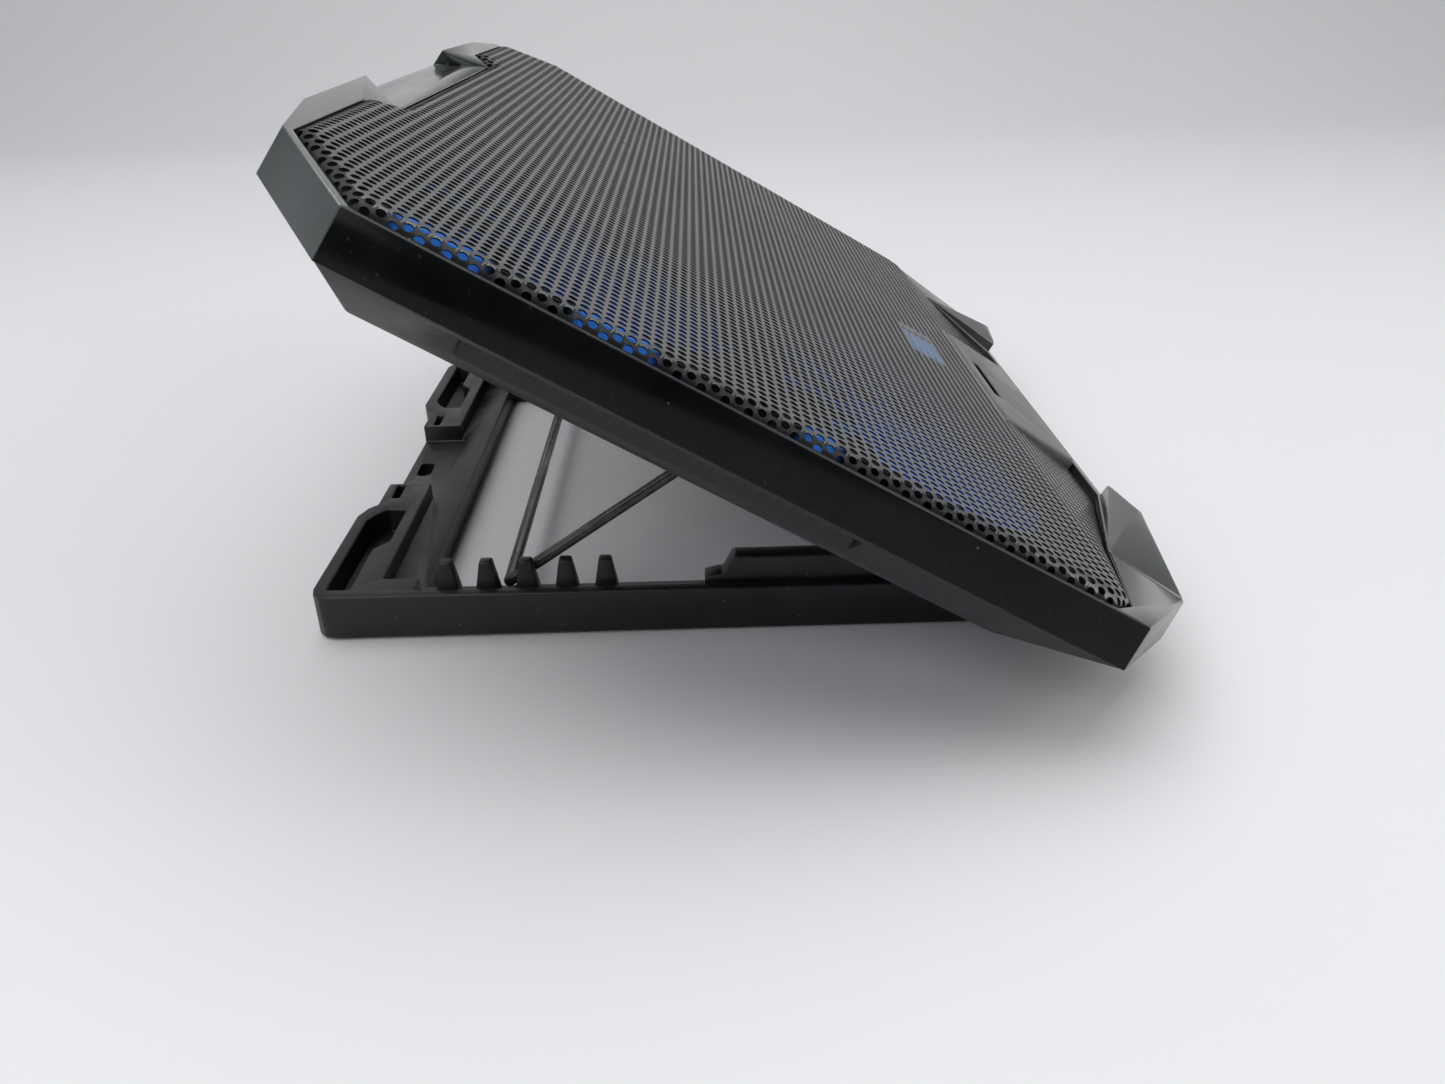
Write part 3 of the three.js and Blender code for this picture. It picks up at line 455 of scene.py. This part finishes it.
def perforated():
    rows = range(-3, 92)
    cells = {}
    pts = []
    for j in rows:
        y = j * PY + 1.2
        for i in range(-60, 61):
            x = (i + 0.5 * (j % 2)) * PX
            pts.append((i, j, x, y))
    arr = np.array([(x, y) for _, _, x, y in pts])
    d, _ = edge_field(arr, DEV)
    for (i, j, x, y), dd in zip(pts, d):
        if dd < 2.35:
            continue
        if CUT[0] - 2.4 < x < CUT[1] + 2.4 and y < CUT[2] + 2.6:
            continue
        cells[(i, j)] = (x, y)
    # shared corner vertices
    key = lambda x, y: (round(x * 50), round(y * 50))
    verts, vid = [], {}

    def vert(x, y):
        k = key(x, y)
        if k not in vid:
            vid[k] = len(verts); verts.append((x, y))
        return vid[k]

    faces, owner = [], []
    edge_use = {}
    for (i, j), (x, y) in cells.items():
        c = [vert(x + cx, y + cy) for cx, cy in CELL]
        h0 = len(verts)
        verts.extend([(x + HOLE_R * math.cos(2 * math.pi * k / NH + math.pi / NH), y + HOLE_R * math.sin(2 * math.pi * k / NH + math.pi / NH)) for k in range(NH)])
        for k in range(6):
            e = (c[k], c[(k + 1) % 6])
            edge_use[frozenset(e)] = edge_use.get(frozenset(e), 0) + 1
        # ring between the cell's border and the hole, walked by angle
        ca = [math.atan2(cy, cx) % (2 * math.pi) for cx, cy in CELL]
        ha = [(2 * math.pi * k / NH + math.pi / NH) for k in range(NH)]
        a, b = 0, 0
        # start hole index nearest to the first corner
        b = min(range(NH), key=lambda k: abs(((ha[k] - ca[0] + math.pi) % (2 * math.pi)) - math.pi))
        sa, sb = a, b
        na = nb = 0
        while na < 6 or nb < NH:
            nca = ca[0] + ((ca[(a + 1) % 6] - ca[0]) % (2 * math.pi)) if na < 5 else ca[0] + 2 * math.pi
            nha = ha[sb] + 2 * math.pi * (nb + 1) / NH
            if nb >= NH or (na < 6 and nca <= nha - math.pi / NH * 0.2):
                faces.append((c[a], c[(a + 1) % 6], h0 + b)); owner.append((x, y)); a = (a + 1) % 6; na += 1
            else:
                faces.append((c[a], h0 + (b + 1) % NH, h0 + b)); owner.append((x, y)); b = (b + 1) % NH; nb += 1
    # solid margin between the cells and the sheet's edge
    border = [tuple(e) for e, n in edge_use.items() if n == 1]
    loop = []
    n = len(DEV)
    for k in range(n):
        a, b = np.array(DEV[k]), np.array(DEV[(k + 1) % n])
        m = max(1, int(np.hypot(*(b - a)) / 3.6))
        loop += [tuple(a + (b - a) * t / m) for t in range(m)]
    # cut the front panel's notch out of the outline's front edge
    front_y = DEV[-1][1]
    pre = [p for p in loop if not (abs(p[0]) < CUT[1] and p[1] < CUT[2])]
    notch = [(CUT[0], front_y)] + [(CUT[0], front_y + (CUT[2] - front_y) * t / 9) for t in range(1, 9)] + \
            [(CUT[0] + (CUT[1] - CUT[0]) * t / 30, CUT[2]) for t in range(31)] + \
            [(CUT[1], front_y + (CUT[2] - front_y) * t / 9) for t in range(8, 0, -1)] + [(CUT[1], front_y)]
    # the outline starts at (86, front) and runs counter-clockwise, so the front edge is its end
    outline = pre + notch
    base = len(verts)
    used = sorted({v for e in border for v in e})
    remap = {v: k for k, v in enumerate(used)}
    cdt_v = [Vector(verts[v]) for v in used] + [Vector(p) for p in outline]
    cdt_e = [(remap[a], remap[b]) for a, b in border] + [(len(used) + k, len(used) + (k + 1) % len(outline)) for k in range(len(outline))]
    ov, oe, of_, orig_v, _, _ = geometry.delaunay_2d_cdt(cdt_v, cdt_e, [], 0, 1e-4)
    ids = []
    for v, o in zip(ov, orig_v):
        src = [k for k in o if k < len(used)]
        if src:
            ids.append(used[src[0]])
        else:
            ids.append(len(verts)); verts.append((v[0], v[1]))
    cen = np.array([[sum(ov[k][0] for k in f) / 3, sum(ov[k][1] for k in f) / 3] for f in of_])
    inside, _ = edge_field(cen, outline)
    for f, c, dd in zip(of_, cen, inside):
        if dd <= 1e-4:
            continue
        j0 = round((c[1] - 1.2) / PY)
        hit = False
        for j in (j0 - 1, j0, j0 + 1):
            i0 = round(c[0] / PX - 0.5 * (j % 2))
            for i in (i0 - 1, i0, i0 + 1):
                if (i, j) in cells:
                    cx, cy = cells[(i, j)]
                    dx, dy = abs(c[0] - cx), abs(c[1] - cy)
                    if dx <= 1.85 and dy <= 2.16856 - dx * (2.16856 - 1.13144) / 1.85:
                        hit = True
        if hit:
            continue
        a, b, d3 = (ids[k] for k in f)
        A, B, C = verts[a], verts[b], verts[d3]
        if (B[0] - A[0]) * (C[1] - A[1]) - (B[1] - A[1]) * (C[0] - A[0]) < 0:
            b, d3 = d3, b
        faces.append((a, b, d3)); owner.append((c[0], c[1]))
    return np.array(verts), np.array(faces), np.array(owner)


def build_mesh_sheet():
    V, F, O = perforated()
    ar = (V[F[:, 1], 0] - V[F[:, 0], 0]) * (V[F[:, 2], 1] - V[F[:, 0], 1]) - (V[F[:, 1], 1] - V[F[:, 0], 1]) * (V[F[:, 2], 0] - V[F[:, 0], 0])
    flip = ar < 0
    F[flip] = F[flip][:, [0, 2, 1]]
    top, bot = bend(V)
    parts = {"front_left": (O[:, 0] < 0) & (O[:, 1] < 143), "front_right": (O[:, 0] >= 0) & (O[:, 1] < 143),
             "rear_left": (O[:, 0] < 0) & (O[:, 1] >= 143), "rear_right": (O[:, 0] >= 0) & (O[:, 1] >= 143)}
    for name, sel in parts.items():
        f = F[sel]
        use, inv = np.unique(f, return_inverse=True)
        f = inv.reshape(f.shape)
        n = len(use)
        e = np.concatenate([f[:, [0, 1]], f[:, [1, 2]], f[:, [2, 0]]])
        k = e[:, 0].astype(np.int64) * n + e[:, 1]
        r = e[:, 1].astype(np.int64) * n + e[:, 0]
        bound = e[~np.isin(k, r)]
        verts = place(np.concatenate([top[use], bot[use]]), DM)
        walls = np.column_stack([bound[:, 0], bound[:, 0] + n, bound[:, 1] + n, bound[:, 1]])
        under = f[:, [0, 2, 1]] + n
        tri = np.concatenate([f, under])
        me = bpy.data.meshes.new("mesh_" + name)
        nl = len(tri) * 3 + len(walls) * 4
        me.vertices.add(len(verts)); me.vertices.foreach_set("co", verts.astype(np.float32).ravel())
        me.loops.add(nl); me.loops.foreach_set("vertex_index", np.concatenate([tri.ravel(), walls.ravel()]).astype(np.int32))
        me.polygons.add(len(tri) + len(walls))
        starts = np.concatenate([np.arange(len(tri)) * 3, len(tri) * 3 + np.arange(len(walls)) * 4])
        me.polygons.foreach_set("loop_start", starts.astype(np.int32))
        me.update(calc_edges=True)
        mi = np.zeros(len(tri) + len(walls), np.int32)
        mi[len(tri):] = 1
        along = edge_field(V[use].astype(float), DEV)[0]
        # faces on the rolled edge take the dark painted shade; the rest of the top takes the grey painted reflection
        k = np.clip((V[use][f].mean(1)[:, 1] - 30) / 50, 0, 1)
        rim = along[f].mean(1) < 3.0 + 3.6 * k
        mi[:len(f)][rim] = 2
        mi[len(f):len(tri)] = 1
        o = finish_obj("mesh_sheet_" + name, me, [MESH, MESH_IN, MESH_EDGE_PAINTED_SHADE], "deck", 40)
        me.polygons.foreach_set("material_index", mi)
        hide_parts("mesh_grille")
        print("mesh", name, len(tri) + 2 * len(walls), "triangles")


build_mesh_sheet()

# ---- rounded copies of the CAD nodes ------------------------------------------------------------
top = refine("top_frame", [SHELL, SIDE_PAINTED_SHADE, CHAMFER_PAINTED_REFLECTION, WINGS_PAINTED_REFLECTION, FACET_PAINTED_REFLECTION], 0.0004, 3, 25)
INV = DECK.inverted()
UP = Vector((0, -math.sin(TILT), math.cos(TILT)))
for p in top.data.polygons:
    c = INV @ p.center
    n = p.normal
    up = n.dot(UP)
    # upward faces of the rear wings take the grey painted reflection
    if up > 0.45 and c.y > 262 and c.z > -12:
        p.material_index = 3
    # facets of the rear and front stoppers take the lighter painted reflection
    elif c.z > -1.5 and c.y > 255 and abs(c.x) < 198 and up > -0.2:
        p.material_index = 4
    elif c.z > -1.5 and c.y < 70 and abs(c.x) > 60 and up > 0.05:
        p.material_index = 4
    # faces turned sideways take the darker shell copy: painted shade
    elif abs(n.x) > 0.9 and up < 0.3:
        p.material_index = 1
    # chamfer faces take the lighter shell copy: painted reflection
    elif abs(up) < 0.4 and abs(n.x) > 0.35 and c.z > -15:
        p.material_index = 2
# a foam strip inside the left rear wing closes the seam between the shell and the cover
S0, S1 = (-160.0, 281.7, -14.1), (-100.0, 282.6, -6.3)
strip = [(x, y, z) for x in (S0[0], S1[0]) for y in (S0[1], S1[1]) for z in (S0[2], S1[2])]
obj_from("seam_foam_left", place(strip, DM), [(0, 1, 3, 2), (4, 6, 7, 5), (0, 4, 5, 1), (2, 3, 7, 6), (0, 2, 6, 4), (1, 5, 7, 3)], RUBBER, "deck")
refine("bottom_cover", COVER, 0.0005, 2, 25)
refine("base_frame", BASEM, 0.0007, 3, 25)
refine("front_panel", PANEL_PAINTED_REFLECTION, 0.0006, 3, 25)
refine("prop_bar", BAR, 0.0, 1, 25)
refine("prop_clip_left", COVER, 0.0004, 2, 30)
refine("prop_clip_right", COVER, 0.0004, 2, 30)
refine("badge_frame", GLOSS, 0.0002, 2, 30)
refine("badge_inlay", BADGE_PAINTED_GLOW, 0.0002, 2, 30)
refine("indicator_lens", LENS, 0.0003, 2, 30)
for f in ("front_left", "front_right", "rear_left", "rear_right"):
    refine("foot_" + f, RUBBER, 0.0004, 2, 30)
    refine("fan_frame_" + f, FANH, 0.0004, 2, 30)
    # the front-left rotor takes the strong painted glow
    refine("fan_rotor_" + f, BLADE_STRONG_PAINTED_GLOW if f == "front_left" else BLADE, 0.0003, 2, 30)
for s in ("left", "right"):
    refine("hinge_pin_" + s, STEEL, 0.0003, 2, 30)
    for i in (1, 2, 3):
        refine(f"cover_screw_{s}_{i}", STEEL, 0.0001, 2, 30)
refine("controller_board", PCB, 0.0001, 1, 30)
refine("usb_socket_1", STEEL, 0.0002, 2, 30)
refine("usb_socket_2", STEEL, 0.0002, 2, 30)
refine("speed_dial", DIAL, 0.0002, 2, 30)

# ---- camera -------------------------------------------------------------------------------------
cam = bpy.data.cameras.new("camera")
cam.sensor_width = 36.0
cam.lens = 27.7511
cam.dof.use_dof = False
cam_o = bpy.data.objects.new("camera", cam)
bpy.context.scene.collection.objects.link(cam_o)
RIGHT, DOWN, AHEAD = (-0.0249819, -0.99955504, -0.01629778), (-0.4574254, 0.0259255, -0.88887), (0.88889702, -0.01475065, -0.45786953)
RX = Matrix([[RIGHT[k], -DOWN[k], -AHEAD[k]] for k in range(3)]).to_4x4()
cam_o.matrix_world = Matrix.Translation(Vector((-0.4534737, (119.22963 + SHIFT) / 1000, 0.2029402))) @ RX
bpy.context.scene.camera = cam_o

# ---- floor and light ----------------------------------------------------------------------------
def floor():
    me = bpy.data.meshes.new("floor")
    s, back, r = 3.0, 1.15, 0.5
    prof = [(-1.6, 0.0), (back, 0.0)] + [(back + r * math.sin(a), r - r * math.cos(a)) for a in np.linspace(0.12, math.pi / 2, 12)] + [(back + r, 3.0)]
    verts = [(x, y, z) for x, z in prof for y in (-s, s)]
    faces = [(2 * i, 2 * i + 2, 2 * i + 3, 2 * i + 1) for i in range(len(prof) - 1)]
    me.from_pydata(verts, [], faces); me.update()
    for p in me.polygons:
        p.use_smooth = True
    o = bpy.data.objects.new("floor", me)
    bpy.context.scene.collection.objects.link(o)
    m = material("floor_paper", (0.79, 0.79, 0.80), 0.55, vary=0.02, mottle=1.2, grain=120, bump=0.01, rough_vary=0.05, specular=0.3)
    me.materials.append(m)


floor()


def area(name, loc, target, size, power, color=(1, 1, 1)):
    l = bpy.data.lights.new(name, "AREA")
    l.shape = "RECTANGLE"; l.size, l.size_y = size; l.energy = power; l.color = color
    o = bpy.data.objects.new(name, l)
    bpy.context.scene.collection.objects.link(o)
    o.location = loc
    o.rotation_euler = (Vector(target) - Vector(loc)).to_track_quat("-Z", "Y").to_euler()
    return o


area("key_top", (0.1, 0.1, 1.6), (0.0, 0.0, 0.0), (1.9, 1.9), 17)
area("left_soft", (-1.3, 0.7, 1.0), (0, 0, 0.08), (1.1, 1.1), 6)
area("right_soft", (-0.5, -1.5, 1.0), (0, 0, 0.08), (1.2, 1.0), 6)
w = bpy.data.worlds.new("studio")
w.use_nodes = True
wt = w.node_tree
bg = wt.nodes["Background"]
tc = wt.nodes.new("ShaderNodeTexCoord")
dotn = wt.nodes.new("ShaderNodeVectorMath"); dotn.operation = "DOT_PRODUCT"
wt.links.new(tc.outputs["Generated"], dotn.inputs[0]); dotn.inputs[1].default_value = (-0.93, -0.12, 0.34)
mrx = wt.nodes.new("ShaderNodeMapRange"); wt.links.new(dotn.outputs["Value"], mrx.inputs[0])
mrx.interpolation_type = "SMOOTHSTEP"
mrx.inputs[1].default_value = 0.25; mrx.inputs[2].default_value = 0.92; mrx.inputs[3].default_value = 0.72; mrx.inputs[4].default_value = 0.05
bg.inputs[0].default_value = (0.95, 0.97, 1.0, 1)
wt.links.new(mrx.outputs[0], bg.inputs[1])
bpy.context.scene.world = w
bpy.context.scene.view_settings.view_transform = "Standard"
